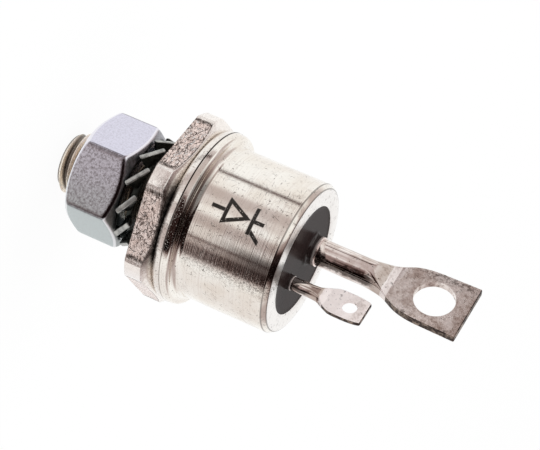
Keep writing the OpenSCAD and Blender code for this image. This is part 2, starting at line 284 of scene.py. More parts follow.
class Finish:
    """One node tree, of a material or of the world, built by node()."""

    def __init__(self, holder):
        holder.use_nodes = True
        self.holder = holder
        self.tree = holder.node_tree
        self.tree.nodes.clear()

    def node(self, kind, settings, sockets, output=0):
        """Adds a node: its settings first, then the values or links of its sockets."""
        made = self.tree.nodes.new(kind)
        for name, value in settings.items():
            setattr(made, name, value)
        for key, value in sockets.items():
            if isinstance(value, Value):
                self.tree.links.new(value.socket, made.inputs[key])
            else:
                made.inputs[key].default_value = value
        return Value(self, made.outputs[output]) if made.outputs else made

    def place(self, stretch=(1, 1, 1), turn=(0, 0, 0)):
        """Position on the piece in millimetres, turned and stretched."""
        here = self.node("ShaderNodeTexCoord", {}, {}, "Object")
        scale = [s / MM for s in stretch]
        return self.node("ShaderNodeMapping", {}, {"Vector": here, "Rotation": turn, "Scale": scale})

    def axes(self):
        """X, Y and Z on the piece in millimetres."""
        apart = self.node("ShaderNodeSeparateXYZ", {}, {"Vector": self.place()})
        return [Value(self, output) for output in apart.socket.node.outputs]

    def unrolled(self, radius):
        """Degrees round Z, height and distance out from the axis, and the sheet that a wall unrolls to."""
        x, y, height = self.axes()
        out = x.length(y)
        degrees = y.angle(x)
        arc = degrees * math.radians(radius)
        sheet = self.node("ShaderNodeCombineXYZ", {}, {"X": arc, "Y": height, "Z": out})
        return degrees, height, out, sheet

    def strokes(self, where, turn, along, across):
        """A flat place turned by an angle, so that noise on it runs in strokes: features per millimetre."""
        sockets = {"Vector": where, "Rotation": (0, 0, turn), "Scale": (1 / along, 1 / across, 1)}
        return self.node("ShaderNodeMapping", {"vector_type": "TEXTURE"}, sockets)

    def noise(self, scale, detail=3.0, stretch=(1, 1, 1), turn=(0, 0, 0), rough=0.55, where=None):
        """Noise with so many features per millimetre."""
        sockets = {"Vector": where or self.place(stretch, turn), "Scale": scale, "Detail": detail,
                   "Roughness": rough}
        return self.node("ShaderNodeTexNoise", {}, sockets)

    def mix(self, share, first, second):
        return self.node("ShaderNodeMix", {"data_type": "RGBA"}, {0: share, 6: first, 7: second}, 2)

    def surface(self, colour, metal, rough, height, relief, gloss=None):
        """Closes the tree with a Principled shader; height is pressed in as a bump of relief millimetres."""
        bump = self.node("ShaderNodeBump", {}, {"Strength": 1.0, "Distance": relief * MM, "Height": height})
        sockets = {"Base Color": colour, "Metallic": metal, "Roughness": rough, "Normal": bump}
        shader = self.node("ShaderNodeBsdfPrincipled", {}, {**sockets, **(gloss or {})})
        self.node("ShaderNodeOutputMaterial", {}, {"Surface": shader})
        return self.holder


def finish_named(name):
    return Finish(bpy.data.materials.new(name))


def rgb(red, green, blue):
    return (red, green, blue, 1.0)


# Dark colour of real dirt, also used for painted shade
DIRT_AND_SHADE = rgb(0.06, 0.045, 0.038)
INK = rgb(0.012, 0.01, 0.009)


def sanded_base():
    """Nickel over a sandy copper base: cracks, bright flecks and smooth turned faces, with painted shade in
    the thread roots, on the seat, under the ring and on the front of the chamfer, and a painted highlight on
    one side of the corner strips.
    """
    f = finish_named("base_nickel")
    degrees, height, out, sheet = f.unrolled(HEX_AF / 2)
    cloud = f.noise(0.5, 4)
    sand = f.noise(2.2, 5, rough=0.7)
    grain = f.noise(6.5, 3, turn=(0.2, 0.4, 1.3), rough=0.7).step(0.5, 0.6)
    cracks = hair_scratches(f, sheet, fineness=7.0, low=0.6, high=0.68, shortness=1.5)
    nicks = f.noise(1.0, 4, where=f.strokes(sheet, 0.2, 2.0, 5.5), rough=0.7)
    pits = nicks.step(0.43, 0.36).most(cracks)
    flecks = f.noise(1.0, 4, where=f.strokes(sheet, -0.3, 2.0, 4.0), rough=0.7).step(0.56, 0.63)

    above_seat = height.step(0, 0.1)
    stud = height.step(0.3 - RELIEF_LEN, -0.1 - RELIEF_LEN)
    strips = out.step(HEX_CORNER_R - 0.23, HEX_CORNER_R - 0.11) * above_seat
    rise = out + (height - HEX_H) / math.tan(CONE_SLOPE) - HEX_CORNER_R
    chamfer = rise.step(-0.16, -0.06) * height.step(HEX_H - 0.05, HEX_H)
    turned_faces = strips.most(chamfer)
    clean = degrees.band(*CLEAN_FLAT) * 0.7
    rough_cut = 1 - (turned_faces.most(stud * 0.95) * 0.9).most(clean)

    # Front side, where shade is painted on the base and the ring
    shaded = degrees.band(*SHADED_FRONT)
    border = rise.step(-0.42, -0.2) * height.step(HEX_H, HEX_H + 0.1)
    border = border.most(out.step(HEX_CORNER_R - 0.37, HEX_CORNER_R - 0.25)) * (1 - turned_faces)
    border = border * above_seat * sand.step(0.3, 0.55) * 0.8
    # Painted shade on the front of the chamfer, broken by the sand
    tarnish = chamfer * shaded * (0.65 + sand.step(0.35, 0.6) * 0.35)
    # Painted shade in the thread roots
    groove = stud * out.step(STUD_R - 0.225, STUD_R - 0.475)
    # Painted shade under the ring, deeper on the front
    under_ring = height.step(CONE_TOP_Z - 0.1, CONE_TOP_Z - 0.02) * (0.1 + shaded * 0.6)
    # Painted shade on the seat under the hex and on the relief below it
    seat = height.step(0.03, 0.005) * (1 - stud) * 0.75
    dirt_and_shade = (groove * 0.85).most(under_ring).most(seat).most(border).most(tarnish * 0.92)
    sandy = sand.step(0.46, 0.64).most(grain * 0.7) * rough_cut
    # Painted highlight on one side of the corner strips
    bright_strip = strips * degrees.step(-9.9, 0)

    colour = f.mix(cloud.step(0.36, 0.66), rgb(1.0, 0.86, 0.8), rgb(0.94, 0.77, 0.7))
    colour = f.mix(turned_faces, colour, rgb(0.97, 0.92, 0.87))
    colour = f.mix(stud * 0.7, colour, rgb(0.97, 0.9, 0.74))
    colour = f.mix(sandy * 0.55, colour, rgb(0.45, 0.31, 0.26))
    colour = f.mix(pits * rough_cut * 0.95, colour, rgb(0.09, 0.06, 0.05))
    # Fewer bright flecks on the front, as painted shade
    colour = f.mix(flecks * rough_cut * (0.85 - shaded * 0.6), colour, rgb(0.99, 0.97, 0.95))
    colour = f.mix(bright_strip * 0.9, colour, rgb(1.0, 0.98, 0.96))
    colour = f.mix(dirt_and_shade, colour, DIRT_AND_SHADE)
    rough = 0.1 + sand * 0.14 * rough_cut + pits * 0.2 * rough_cut + seat * 0.3 + stud * 0.12
    bumps = (sand - pits * 0.3 + flecks * 0.3 - grain * 0.15) * rough_cut
    metal = 1 - rough_cut * (1 - stud) * (1 - pits) * 0.55
    return f.surface(colour, metal, rough, bumps, 0.14)


def ring_plate():
    """Bright turned ring with a sparkle of grain and the dark seam of the weld on its upper edge; shade is
    painted along its lower edge and over the lower half of its front.
    """
    f = finish_named("ring_nickel")
    degrees, height, _, sheet = f.unrolled(FLANGE_R)
    lines = f.noise(1.0, 3, where=f.strokes(sheet, 0, 0.2, 12))
    sand = f.noise(5.0, 4, rough=0.7)
    pits = f.noise(6.0, 2, turn=(0.4, 0.9, 0.2)).step(0.38, 0.3)
    shaded = degrees.band(*SHADED_FRONT)
    # Painted shade along the lower edge, deeper on the front
    shade_under = height.step(CONE_TOP_Z + 0.12, CONE_TOP_Z + 0.03) * (0.1 + shaded * 0.5)
    # Painted shade on the lower half of the front, broken by the sand
    front_low_shade = height.step(WELD_Z - 0.42, WELD_Z - 0.64) * shaded * (0.55 + sand.step(0.35, 0.6) * 0.4)
    grime_and_shade = (pits * 0.8).most(weld_seam(height, degrees)).most(shade_under).most(front_low_shade)
    colour = f.mix(sand.step(0.35, 0.7), rgb(0.93, 0.9, 0.85), rgb(0.8, 0.73, 0.67))
    colour = f.mix(grime_and_shade, colour, DIRT_AND_SHADE)
    rough = 0.08 + sand * 0.16 + grime_and_shade * 0.3
    return f.surface(colour, 1.0, rough, sand + lines * 0.5, 0.008)


def weld_seam(height, degrees):
    """Dark line in the shallow groove between ring and flange, fading in two steps towards one side."""
    fade = degrees.step(-62, -50) * 0.3 + degrees.step(-34, -16) * 0.5
    return height.near(WELD_Z, 0.05, 0.1) * (1 - fade)


def hair_scratches(f, sheet, fineness=9.0, low=0.68, high=0.75, shortness=1.0):
    """Scratches lying several ways; fineness is how many would lie side by side in a millimetre."""
    hairs = None
    for turn, length in HAIR_WAYS:
        one = f.noise(1.0, 2, where=f.strokes(sheet, turn, length * shortness, fineness)).step(low, high)
        hairs = one if hairs is None else hairs.most(one)
    return hairs


def circuit_mark(degrees, height):
    """Plain circuit symbol in ink: a triangle to a bar, a lead at each end and the gate's slanting lead."""
    across = degrees * math.radians(CAN_R) - MARK_ARC
    wide = abs(across)
    along = height - MARK_Z
    half = MARK_SIZE / 2
    pen = MARK_PEN / 2

    def inside(distance):
        return distance.step(MARK_BLUR, -MARK_BLUR)

    side = (wide - (half - along) * SIDE_LEAN) / math.hypot(1, SIDE_LEAN)
    edge = side.most(abs(along) - half)
    triangle = inside(abs(edge + pen) - pen)
    bar = inside((abs(along - half - pen) - pen).most(wide - half))
    lead = inside((wide - pen).most(abs(along) - MARK_SIZE)) * inside(half - abs(along))
    past_bar = along - half - 2 * pen
    slant = abs(across - half * GATE_LEAD_AT - past_bar * GATE_LEAD_LEAN) / math.hypot(1, GATE_LEAD_LEAN)
    ends = abs(past_bar - half * GATE_LEAD_REACH) - half * GATE_LEAD_REACH
    gate_lead = inside((slant - pen).most(ends))
    return triangle.most(bar).most(lead).most(gate_lead)


def polished_can():
    """Turned nickel: fine lines round the can, hair scratches and specks of tarnish, with painted shade as
    dark lines at the bevel's edges, in the fillet and in a band up the front of the wall.
    """
    f = finish_named("can_nickel")
    degrees, height, out, sheet = f.unrolled(CAN_R)
    wall = height.step(FLANGE_TOP_Z + 0.4, FLANGE_TOP_Z + 0.9)
    lines = f.noise(1.0, 4, where=f.strokes(sheet, 0, 0.16, 10))
    cloud = f.noise(0.32, 4)
    patch = f.noise(1.7, 5, rough=0.65)
    tarnish = f.noise(1.1, 5, turn=(0.7, 0.2, 0.4), rough=0.68).step(0.5, 0.72) * height.step(*TARNISH_RISE)
    crowd = f.noise(0.55, 2, turn=(0.2, 0.6, 0.1)).step(0.4, 0.58)
    crowded = f.noise(4.2, 3).step(0.37, 0.31) * crowd
    specks = crowded.most(f.noise(5.5, 3, rough=0.7).step(0.42, 0.35) * tarnish)
    hairs = hair_scratches(f, sheet) * wall
    sparkle = f.noise(7.0, 3, turn=(0.5, 0.1, 0.9), rough=0.7).step(0.63, 0.69) * (1 - wall)
    pepper = f.noise(6.5, 3, turn=(0.8, 0.3, 0.2), rough=0.7).step(0.53, 0.44)
    worn = f.noise(5.0, 3, rough=0.7).step(0.3, 0.38)
    ink = circuit_mark(degrees, height) * worn

    faced = height.step(RIM_Z - 0.04, RIM_Z - 0.01)
    # Painted shade: dark lines along the bevel's two edges
    bevel_low = height.near(RIM_Z - BEVEL_H, 0.04, 0.09)
    bevel_high = out.near(CAN_R - BEVEL_W, 0.04, 0.08) * height.step(RIM_Z - 0.1, RIM_Z - 0.05)
    # Painted shade in the fillet and on the flange's shoulder, on the front
    fillet = height.band(FLANGE_TOP_Z, FLANGE_TOP_Z + 0.08, FLANGE_TOP_Z + 0.42, FLANGE_TOP_Z + 0.7)
    shoulder = height.step(FLANGE_TOP_Z - 0.32, FLANGE_TOP_Z - 0.2)
    shoulder = shoulder * out.step(FLANGE_R - 0.6, FLANGE_R - 0.42)
    corner = fillet.most(shoulder) * degrees.band(*DARK_FILLET) * 0.8
    # Painted shade: a dark band up the front of the wall
    painted_band = degrees.band(*CAN_PAINTED_SHADE) * height.step(*PAINTED_SHADE_RISE) * 0.78
    peppered = pepper * degrees.band(*CAN_PEPPER) * wall * (0.4 + height.step(*PEPPER_RISE) * 0.25)
    grime_and_shade = (hairs * 0.62).most(specks * 0.8).most(weld_seam(height, degrees)).most(corner).most(painted_band)
    grime_and_shade = grime_and_shade.most(bevel_low.most(bevel_high) * 0.62).most(peppered)

    colour = f.mix(cloud.step(0.35, 0.7), rgb(0.95, 0.92, 0.86), rgb(0.87, 0.81, 0.73))
    colour = f.mix(lines.step(0.45, 0.75) * 0.3, colour, rgb(0.6, 0.5, 0.45))
    colour = f.mix(tarnish * 0.4, colour, rgb(0.55, 0.45, 0.39))
    colour = f.mix(faced * 0.9, colour, rgb(1.0, 0.99, 0.97))
    colour = f.mix(grime_and_shade, colour, DIRT_AND_SHADE)
    colour = f.mix(ink * 0.95, colour, INK)
    rough = 0.05 + lines * 0.06 + patch * 0.07 + specks * 0.3 + ink * 0.35 + faced * 0.24
    bumps = lines + patch * 0.2 - specks * 0.3 - hairs * 0.4 + sparkle * 4
    return f.surface(colour, 1.0, rough, bumps, 0.005)


def coined_nickel():
    """Pins and lugs: lines drawn along the pin, mottled tarnish on the pressed flats and small pits, with
    painted shade on the neck, a painted dark reflection along one side of the pin, a painted highlight on the
    press facet and a painted sheen that makes the gate's flat paler.
    """
    f = finish_named("lug_nickel")
    x, y, height = f.axes()
    gate = x.step(*BETWEEN_PINS) * height.step(GATE["tip"] + 0.4, GATE["tip"] + 0.1)
    past = height + gate * GATE_FLAT_DROP - FLAT_START_Z
    flat = past.step(0, 0.25)
    gate_flat = gate * flat
    pin = 1 - flat
    # Painted shade on the neck where the pin is pressed flat
    neck = past.band(-1.7, -0.9, 0.05, 0.1)
    aside = x - CATHODE["x"] - gate * (GATE["x"] - CATHODE["x"])
    drawn = f.noise(1.0, 3, stretch=(5, 5, 0.12))
    cloud = f.noise(0.6, 5, rough=0.62)
    mottle = f.noise(2.3, 6, rough=0.72)
    pits = f.noise(5.0, 3, turn=(0.3, 0.5, 0.9)).step(0.36, 0.29)
    dents = f.noise(1.1, 3, turn=(0.9, 0.1, 0.5)).step(0.36, 0.3) * flat

    ragged = past + (mottle - 0.5) * 0.5
    wedge = ragged + aside * 0.12
    # Painted highlight on the press facet
    facet = ragged.step(-0.05, 0.05) * wedge.step(1.05, 0.9) * (1 - gate)
    far_edge = mottle.step(0.46, 0.58) * x.step(*FAR_EDGE) * past.step(1.6, 3.6)
    # Painted dark reflection in a band along one side of the pin
    reflection_angle = y.angle(aside) + (f.noise(2.6, 5, stretch=(1, 1, 0.4), rough=0.75) - 0.5) * 90
    dark_reflection = reflection_angle.band(*PIN_DARK_REFLECTION) * past.step(-0.7, -1.5)
    stain = (mottle + cloud * 0.5).step(0.7, 0.93) * flat * (0.6 + past.step(1.1, 5.1) * 0.25)
    gate_tip = past.step(2.3, 4.5) * (0.45 + mottle.step(0.4, 0.6) * 0.55)
    dirt_and_shade = pits.most(dents * 0.6).most(dark_reflection).most(far_edge * 0.7)

    colour = f.mix(cloud.step(0.38, 0.64), rgb(0.9, 0.83, 0.79), rgb(0.66, 0.56, 0.51))
    colour = f.mix(stain, colour, rgb(0.31, 0.23, 0.19))
    colour = f.mix(drawn.step(0.52, 0.66) * pin * 0.75, colour, rgb(0.3, 0.24, 0.2))
    colour = f.mix(neck * 0.6, colour, rgb(0.4, 0.32, 0.27))
    colour = f.mix(facet * 0.5, colour, rgb(0.98, 0.93, 0.92))
    # The gate's flat is painted paler than the cathode's: a painted sheen, weaker towards its tip
    colour = f.mix(gate_flat * (0.8 - gate_tip * 0.5), colour, rgb(1.0, 0.93, 0.915))
    colour = f.mix(dirt_and_shade * 0.88, colour, DIRT_AND_SHADE)
    rough = 0.05 + flat * 0.06 + mottle * flat * 0.2 + pits * 0.3 + gate_flat * 0.4
    bumps = mottle * flat + drawn * pin * 0.25 - pits * 0.5 - dents * 0.4
    metal = 1 - gate_flat * 0.5
    return f.surface(colour, metal, rough, bumps, 0.016)


def sheared_edge():
    """Sheared sides of the lugs, dark with tarnish."""
    f = finish_named("lug_sheared_edge")
    cloud = f.noise(1.4, 5, rough=0.65)
    drag = f.noise(3.0, 3, stretch=(1, 3, 1))
    colour = f.mix(cloud.step(0.46, 0.62), rgb(0.05, 0.035, 0.03), rgb(0.34, 0.27, 0.22))
    rough = 0.32 + drag * 0.25
    return f.surface(colour, 1.0, rough, drag + cloud, 0.02)


def zinc_plate():
    """Zinc plating: lavender and grey-green clouds under a frosty, mottled grain, with painted shade on the
    front flat, the near chamfer, the corner edges and the front rim, and painted highlights on the other rims
    and the far chamfer.
    """
    f = finish_named("nut_zinc")
    x, y, height = f.axes()
    out = x.length(y)
    cloud = f.noise(0.33, 3)
    mottle = f.noise(3.6, 6, rough=0.7)
    frost = f.noise(8.0, 3)
    stains = f.noise(4.6, 6, turn=(0.3, 0.8, 0.1), rough=0.78).step(0.42, 0.64)

    middle_z = -NUT_GAP - NUT_T / 2
    depth = NUT_T / 2 - abs(height - middle_z)
    lip = depth / math.tan(NUT_SLOPE) + NUT_FACE_R - out
    chamfer = lip.step(0.22, 0.06)
    near_half = height.step(middle_z, middle_z + 0.5)
    # Painted shade on the chamfer of the half that faces the washer
    near_chamfer = chamfer * near_half
    facing = flat_angles(NUT_TURN)[1]
    # The front flat, where shade is painted
    front = (x * math.cos(facing) + y * math.sin(facing)).step(NUT_AF / 2 - 0.175, NUT_AF / 2 - 0.055)
    tinge = ((x + y) * 0.7 + cloud * 3).step(-0.5, 5)
    # Painted shade: dark lines along the corner edges
    edges = out.step(NUT_CORNER_R - 0.152, NUT_CORNER_R - 0.112) * (0.35 + mottle.step(0.35, 0.6) * 0.4)
    line = lip.band(0.06, 0.16, 0.38, 0.5)
    # Painted highlight along the rims of the other flats and over the far chamfer
    rim_highlight = (line * (1 - front)).most(chamfer - near_chamfer) * 0.6
    # Painted shade along the front flat's rim on the near half
    dark_line = line * front * near_half * 0.9

    colour = f.mix(tinge, rgb(0.72, 0.71, 0.82), rgb(0.48, 0.545, 0.55))
    # The front flat is painted darker and more stained: painted shade
    colour = f.mix(front * 0.5, colour, rgb(0.5, 0.46, 0.47))
    colour = f.mix(stains * (0.2 + front * 0.68), colour, rgb(0.19, 0.165, 0.17))
    colour = f.mix(near_chamfer * (0.6 + stains * 0.35), colour, rgb(0.22, 0.225, 0.22))
    colour = f.mix(rim_highlight, colour, rgb(0.95, 0.94, 0.97))
    colour = f.mix((edges * (1 - chamfer)).most(dark_line), colour, rgb(0.12, 0.1, 0.11))
    rough = 0.09 + mottle * 0.1 + frost * 0.05 + near_chamfer * 0.18
    bumps = mottle * (0.5 + front * 0.5) + frost * 0.15
    return f.surface(colour, 1.0, rough, bumps, 0.012)


def black_oxide():
    """Blackened spring steel of the lock washer."""
    f = finish_named("washer_black")
    cloud = f.noise(1.1, 4)
    grain = f.noise(9.0, 2)
    colour = f.mix(cloud.step(0.35, 0.7), rgb(0.03, 0.034, 0.03), rgb(0.075, 0.085, 0.075))
    rough = 0.3 + grain * 0.2
    return f.surface(colour, 0.9, rough, grain, 0.006)


def worn_cut_edge():
    """Tips of the washer's teeth, where the black has worn off."""
    f = finish_named("washer_cut_edge")
    cloud = f.noise(1.8, 4)
    drag = f.noise(2.0, 3, stretch=(1, 1, 5))
    colour = f.mix(cloud.step(0.35, 0.7), rgb(0.6, 0.61, 0.58), rgb(0.3, 0.31, 0.3))
    rough = 0.34 + drag * 0.2
    return f.surface(colour, 1.0, rough, drag, 0.008)


def seal_glass():
    """Dark sealing glass with fine seeds; round the pins it thins to a film with the metal showing."""
    f = finish_named("seal_glass")
    x, _, height = f.axes()
    swirl = f.noise(0.5, 3)
    seeds = f.noise(5.0, 2).step(0.7, 0.77)
    collar = height.step(RIM_Z, RIM_Z + 0.3)
    thin = height + swirl * 0.3 + x.step(*BETWEEN_PINS) * 0.34
    film = thin.step(RIM_Z + 0.7, RIM_Z + 1.06)
    colour = f.mix(swirl, rgb(0.015, 0.0095, 0.009), rgb(0.024, 0.016, 0.015))
    colour = f.mix(seeds * 0.5, colour, rgb(0.1, 0.09, 0.09))
    colour = f.mix(film, colour, rgb(0.84, 0.73, 0.69))
    rough = 0.2 + swirl * 0.1
    gloss = {"IOR": 1.088, "Coat Weight": collar * (1 - film), "Coat IOR": 1.75, "Coat Roughness": 0.12}
    return f.surface(colour, film, rough, swirl, 0.003, gloss)


def plain_metal(name, pale, deep, gloss, scale):
    """Finish of the pieces that stay sealed inside the can."""
    f = finish_named(name)
    cloud = f.noise(scale, 3)
    colour = f.mix(cloud.step(0.3, 0.7), pale, deep)
    rough = gloss + cloud * 0.15
    return f.surface(colour, 1.0, rough, cloud, 0.004)


def brown_varnish():
    """Insulating varnish round the pellet's edge."""
    f = finish_named("varnish")
    cloud = f.noise(0.8, 3)
    colour = f.mix(cloud, rgb(0.45, 0.14, 0.08), rgb(0.6, 0.22, 0.12))
    rough = 0.25 + cloud * 0.1
    return f.surface(colour, 0.0, rough, cloud, 0.01)


def lathe(profile, breaks=(), steps=LATHE_STEPS):
    """Spins a closed profile of (radius, height) rows round Z, then rounds the rings named in breaks."""
    bm = bmesh.new()
    rows = [bm.verts.new((r, 0, z)) for r, z in profile]
    pairs = zip(rows, rows[1:] + rows[:1])
    wires = [bm.edges.new(pair) for pair in pairs if pair[0].co.x + pair[1].co.x > TOUCH]
    bmesh.ops.spin(bm, geom=rows + wires, cent=(0, 0, 0), axis=(0, 0, 1), angle=math.tau, steps=steps,
                   use_merge=True)
    merge(bm)
    face_out(bm)
    for radius, height, size, segments in breaks:
        ring = [e for e in bm.edges if all(on_ring(v, radius, height) for v in e.verts)]
        round_edges(bm, ring, size, segments)
    return bm


def merge(bm):
    bmesh.ops.remove_doubles(bm, verts=bm.verts, dist=TOUCH)


def face_out(bm):
    bmesh.ops.recalc_face_normals(bm, faces=bm.faces)


def on_ring(vert, radius, height):
    return abs(vert.co.xy.length - radius) < TOUCH and abs(vert.co.z - height) < TOUCH


def round_edges(bm, edges, size, segments):
    bmesh.ops.bevel(bm, geom=edges, offset=size, offset_type="OFFSET", segments=segments, profile=0.5,
                    affect="EDGES", clamp_overlap=True, material=-1)


def slice_off(bm, point, facing, snap):
    """Cuts off what lies past a plane and closes the cut."""
    whole = bm.verts[:] + bm.edges[:] + bm.faces[:]
    cut = bmesh.ops.bisect_plane(bm, geom=whole, dist=snap, plane_co=point, plane_no=facing, clear_outer=True)
    bmesh.ops.edgeloop_fill(bm, edges=[e for e in cut["geom_cut"] if isinstance(e, bmesh.types.BMEdge)])


def flat_angles(turn):
    """Directions, in radians, that six flats face when the first is turned by so many degrees."""
    return [math.radians(turn - 90) + k * math.tau / SIDES for k in range(SIDES)]


def mill_flats(bm, across, turn, edge):
    """Cuts six flats on a turned blank and breaks their edges."""
    facings = [Vector((math.cos(angle), math.sin(angle), 0)) for angle in flat_angles(turn)]
    for facing in facings:
        slice_off(bm, facing * across / 2, facing, TOUCH)
    face_out(bm)
    flats = [face for face in bm.faces if max(face.normal.dot(facing) for facing in facings) > 1 - TOUCH
             and abs(face.calc_center_median().xy.length - across / 2) < TOUCH * across]
    round_edges(bm, list({e for face in flats for e in face.edges}), edge, 3)


def join(*shells):
    """One bmesh of several closed shells."""
    whole = bmesh.new()
    for shell in shells:
        mesh = bpy.data.meshes.new("shell")
        shell.to_mesh(mesh)
        shell.free()
        whole.from_mesh(mesh)
        bpy.data.meshes.remove(mesh)
    return whole


def moved(bm, x=0.0, z=0.0):
    bmesh.ops.translate(bm, vec=(x, 0, z), verts=bm.verts)
    return bm


def cubic(start, first, second, end, steps):
    """Points of a cubic curve after its start."""
    points = []
    for i in range(1, steps + 1):
        t = i / steps
        weights = ((1 - t) ** 3, 3 * t * (1 - t) ** 2, 3 * t * t * (1 - t), t ** 3)
        pulls = list(zip(weights, (start, first, second, end)))
        points.append(tuple(sum(weight * point[k] for weight, point in pulls) for k in (0, 1)))
    return points


def to_object(name, bm, *materials):
    """Makes an object of a bmesh that is in millimetres."""
    bmesh.ops.scale(bm, vec=(MM, MM, MM), verts=bm.verts)
    mesh = bpy.data.meshes.new(name)
    bm.to_mesh(mesh)
    bm.free()
    for material in materials:
        mesh.materials.append(material)
    obj = bpy.data.objects.new(name, mesh)
    bpy.context.scene.collection.objects.link(obj)
    return obj


def smooth_faces(obj, crease):
    """Shades an object smooth, apart from edges sharper than crease degrees."""
    obj.data.shade_smooth()
    obj.data.set_sharp_from_angle(angle=math.radians(crease))
    even = obj.modifiers.new("even_faces", "WEIGHTED_NORMAL")
    even.keep_sharp = True


def piece(name, bm, node, slot, *materials, crease=32):
    """Makes the finished object of a bmesh, riding on the body and standing for its solid."""
    obj = to_object(name, bm, *materials)
    smooth_faces(obj, crease)
    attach(obj, BODY)
    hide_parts(node)
    return obj


def rolled_thread(crest, depth, low, high):
    """Right-hand thread from a turn below low to past high, spun along its helix and open at both ends."""
    root = crest - depth
    flank = crest - CREST_ROUND
    tooth = [(root, 0.0), (root, 0.12), (flank, 0.43), (crest, 0.47), (crest, 0.55), (flank, 0.59),
             (root, 0.9), (root, 1.0)]
    turns = math.ceil((high - low) / PITCH) + 2
    bm = bmesh.new()
    rows = [bm.verts.new((r, 0, low - PITCH + share * PITCH)) for r, share in tooth]
    wires = [bm.edges.new(pair) for pair in zip(rows, rows[1:])]
    bmesh.ops.spin(bm, geom=rows + wires, cent=(0, 0, 0), axis=(0, 0, 1), dvec=(0, 0, PITCH / THREAD_STEPS),
                   angle=math.tau * turns, steps=THREAD_STEPS * turns)
    merge(bm)
    return bm


def build_base(material):
    """Hex base with a turned chamfer, pedestal and threaded stud."""
    relief_r = STUD_R - RELIEF_DEPTH
    bore_r = relief_r - DISC_LAP
    disc = lathe([(bore_r, 0), (HEX_CORNER_R, 0), (HEX_CORNER_R, HEX_H), (CONE_TOP_R, CONE_TOP_Z),
                  (bore_r, CONE_TOP_Z)],
                 [(HEX_CORNER_R, 0, SEAT_BREAK, 3), (HEX_CORNER_R, HEX_H, CONE_BREAK, 3)])
    mill_flats(disc, HEX_AF, HEX_TURN, FLAT_BREAK)

    inside = HEX_H / 2
    core_end = -RELIEF_LEN - RELIEF_DEPTH
    core = lathe([(0, PEDESTAL_Z), (PEDESTAL_R, PEDESTAL_Z), (PEDESTAL_R, inside), (relief_r, inside),
                  (relief_r, core_end), (0, core_end)], [(PEDESTAL_R, PEDESTAL_Z, PEDESTAL_BREAK, 3)])

    thread = rolled_thread(STUD_R, THREAD_DEPTH, -STUD_LEN, -RELIEF_LEN)
    for vert in thread.verts:
        reach = STUD_R - TIP_CHAMFER + max(vert.co.z + STUD_LEN, 0)
        runout = STUD_R - THREAD_DEPTH + max(-RELIEF_LEN - vert.co.z, 0)
        limit = min(reach, runout)
        if vert.co.xy.length > limit:
            vert.co.xy *= limit / vert.co.xy.length
    slice_off(thread, (0, 0, -STUD_LEN), (0, 0, -1), TOUCH / 100)
    slice_off(thread, (0, 0, -RELIEF_LEN), (0, 0, 1), TOUCH / 100)
    face_out(thread)
    piece("threaded_base", join(disc, core, thread), "stud_base", "base_nickel", material)


def build_weld_ring(material):
    """Ring brazed on the base, leaning in towards its lower edge."""
    low_r = FLANGE_R - FLANGE_LEAN
    ring = lathe([(RING_IN_R, CONE_TOP_Z), (low_r, CONE_TOP_Z), (FLANGE_R, WELD_Z), (RING_IN_R, WELD_Z)],
                 [(low_r, CONE_TOP_Z, FLANGE_ROUND, 6), (FLANGE_R, WELD_Z, WELD_GAP, 3)])
    piece("brazed_ring", ring, "weld_ring", "ring_nickel", material)


def build_can(material):
    """Drawn can: welding flange, fillet, straight wall, bevelled rim and the collar round the glass."""
    wall_r = CAN_R - CAN_WALL
    high_r = FLANGE_R - FLANGE_LEAN
    bevel_z = RIM_Z - BEVEL_H
    bevel_r = CAN_R - BEVEL_W
    can = lathe([(wall_r, WELD_Z), (FLANGE_R, WELD_Z), (high_r, FLANGE_TOP_Z), (CAN_R, FLANGE_TOP_Z),
                 (CAN_R, bevel_z), (bevel_r, RIM_Z), (GLASS_R, RIM_Z), (GLASS_R, GLASS_BOTTOM_Z),
                 (wall_r, GLASS_BOTTOM_Z)],
                [(FLANGE_R, WELD_Z, WELD_GAP, 3), (high_r, FLANGE_TOP_Z, FLANGE_ROUND, 6),
                 (CAN_R, FLANGE_TOP_Z, CAN_FILLET, 8), (CAN_R, bevel_z, BEVEL_BREAK, 3),
                 (bevel_r, RIM_Z, RIM_BREAK, 3), (GLASS_R, RIM_Z, MOUTH_BREAK, 2)])
    piece("drawn_can", can, "case_shell", "can_nickel", material)


def glass_collar(lug, top):
    """Glass drawn up round a pin."""
    rise = lug["rise"]
    foot = lug["pin_r"] + rise * COLLAR_FOOT
    lip = lug["pin_r"] + rise * COLLAR_LIP
    inner = lug["pin_r"] - COLLAR_LAP
    curve = cubic((foot, top), (lip, top), (lip, top + rise * COLLAR_LIP), (lip, top + rise), COLLAR_STEPS)
    collar = lathe([(inner, top - GLASS_SINK), (foot, top - GLASS_SINK), (foot, top)] + curve
                   + [(inner, top + rise)], [(lip, top + rise, THIN_BREAK, 3)], RING_STEPS)
    return moved(collar, lug["x"])


def build_glass(material):
    """Glass disc, a little sunk in its collar, with a raised collar of its own round each pin."""
    top = RIM_Z - GLASS_SINK
    flat_r = GLASS_R - GLASS_EDGE_W
    disc = lathe([(0, top), (flat_r, top), (GLASS_R, RIM_Z - GLASS_SINK / 3), (GLASS_R, GLASS_BOTTOM_Z),
                  (0, GLASS_BOTTOM_Z)], [(flat_r, top, GLASS_EDGE_ROUND, 4)])
    collars = [glass_collar(lug, top) for lug in (CATHODE, GATE)]
    piece("glass_seal_disc", join(disc, *collars), "glass_seal", "seal_glass", material)


def between(rows, at):
    """Value of (place, value) rows at a place, straight between rows."""
    if at <= rows[0][0]:
        return rows[0][1]
    for (a, va), (b, vb) in zip(rows, rows[1:]):
        if at <= b:
            return va + (vb - va) * (at - a) / (b - a)
    return rows[-1][1]


